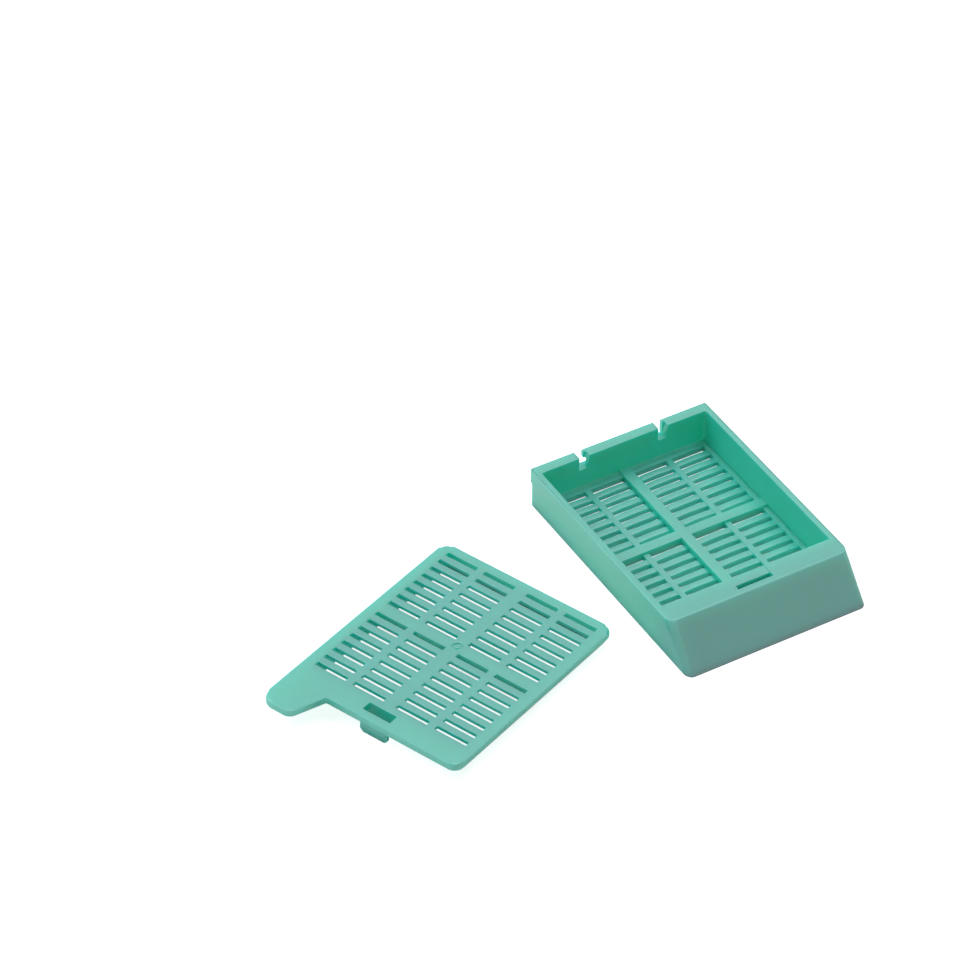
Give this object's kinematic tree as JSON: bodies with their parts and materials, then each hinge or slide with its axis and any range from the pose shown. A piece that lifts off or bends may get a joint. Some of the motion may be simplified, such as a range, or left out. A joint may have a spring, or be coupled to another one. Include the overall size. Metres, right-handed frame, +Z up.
{
  "type": "tissue cassette",
  "caption": "Slotted plastic tissue cassette with a slanted writing face, shown open, its slotted clip-on lid with thumb tab lying separately beside the base.",
  "frame": {"origin": "centre of the base's footprint, on the resting plane under its middle rib", "axes": "+Z up, +Y towards the notched hinge wall, -Y towards the foot of the slanted writing face, +X to the right seen from the writing face; the separate lid lies on the -X side"},
  "size_m": [0.0801, 0.0428, 0.0062],
  "materials": {
    "acetal_mint": "satin moulded acetal"
  },
  "bodies": {
    "root": {"cassette_base": "acetal_mint", "cassette_lid": "acetal_mint"}
  },
  "joints": []
}
